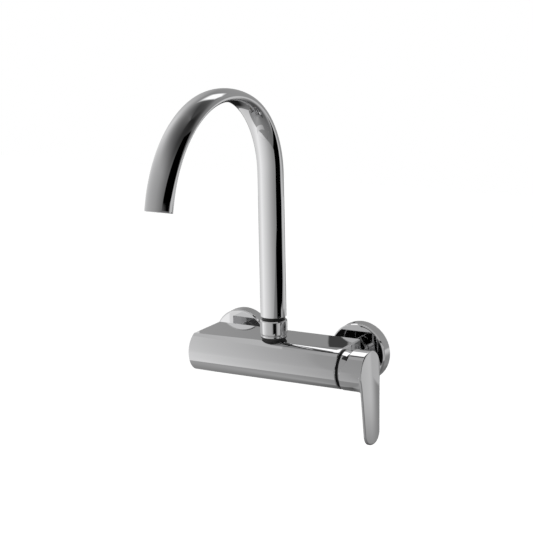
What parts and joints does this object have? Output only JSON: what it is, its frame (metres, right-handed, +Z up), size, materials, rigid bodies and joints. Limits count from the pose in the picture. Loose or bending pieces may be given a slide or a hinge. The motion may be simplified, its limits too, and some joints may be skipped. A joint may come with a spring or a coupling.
{
  "type": "wall-mounted kitchen mixer tap",
  "caption": "Wall-mounted single-lever sink mixer: a horizontal chrome bar on two wall unions, with a flattened gooseneck spout that swivels on top and a paddle lever at one end.",
  "frame": {"origin": "on the finished wall, midway between the two wall threads", "axes": "+X along the bar towards the lever, -Y out of the wall into the room, +Z up"},
  "size_m": [0.2311, 0.3223, 0.3953],
  "materials": {
    "chrome_body": "polished chrome plate on a brass casting",
    "chrome_trim": "polished chrome plate",
    "chrome_spout": "polished chrome plate on drawn tube",
    "chrome_lever": "polished chrome plate on a die casting",
    "bare_brass": "turned brass",
    "black_rubber": "moulded rubber",
    "black_plastic": "black moulded plastic",
    "grey_plastic": "grey moulded plastic",
    "white_plastic": "white acetal",
    "aerator_plastic": "grey moulded plastic",
    "disc_ceramic": "lapped ceramic",
    "plain_steel": "turned stainless steel"
  },
  "bodies": {
    "body": {"mixer_body": "chrome_body", "inlet_nipple_left": "bare_brass", "inlet_nipple_right": "bare_brass", "seal_washer_left": "black_rubber", "seal_washer_right": "black_rubber", "union_nut_left": "chrome_trim", "union_nut_right": "chrome_trim", "s_union_left": "bare_brass", "s_union_right": "bare_brass", "escutcheon_left": "chrome_trim", "escutcheon_right": "chrome_trim", "spout_socket": "chrome_trim", "socket_gasket": "black_rubber", "collar_nut": "chrome_trim", "cartridge_base": "black_plastic", "port_seals": "black_rubber", "cartridge_o_ring": "black_rubber", "fixed_disc": "disc_ceramic", "cartridge_housing": "white_plastic", "retaining_nut": "bare_brass", "gap_ring": "black_plastic", "dome_cap": "chrome_trim"},
    "spout": {"spout_tube": "chrome_spout", "spout_stem": "bare_brass", "spout_o_rings": "black_rubber", "slide_ring": "white_plastic", "bearing_ring": "black_plastic", "outlet_insert": "grey_plastic", "aerator_housing": "aerator_plastic", "flow_disc": "white_plastic", "aerator_seal": "black_rubber"},
    "turner": {"rotor": "white_plastic", "stem_pin": "plain_steel"},
    "lever": {"lever_handle": "chrome_lever", "stem": "plain_steel", "grub_screw": "plain_steel", "screw_plug": "chrome_lever"},
    "disc": {"moving_disc": "disc_ceramic", "disc_driver": "grey_plastic"}
  },
  "joints": [
    {"name": "spout_swivel", "type": "hinge", "parent": "body", "child": "spout", "pos_m": [0, -0.0688, 0.04], "axis": [0, 0, 1], "range_deg": [-90, 90]},
    {"name": "lever_turn", "type": "hinge", "parent": "body", "child": "turner", "pos_m": [0.075, -0.0688, 0.004], "axis": [1, 0, 0], "range_deg": [-45, 45]},
    {"name": "lever_lift", "type": "hinge", "parent": "turner", "child": "lever", "pos_m": [0.088, -0.0688, 0.004], "axis": [0, -1, 0], "range_deg": [0, 18]},
    {"name": "disc_slide", "type": "slide", "parent": "turner", "child": "disc", "axis": [0, 0, -1], "range_m": [0, 0.00507]}
  ],
  "couplings": [
    {"joint": "disc_slide", "follows": "lever_lift", "m_per_rad": 0.01613}
  ]
}
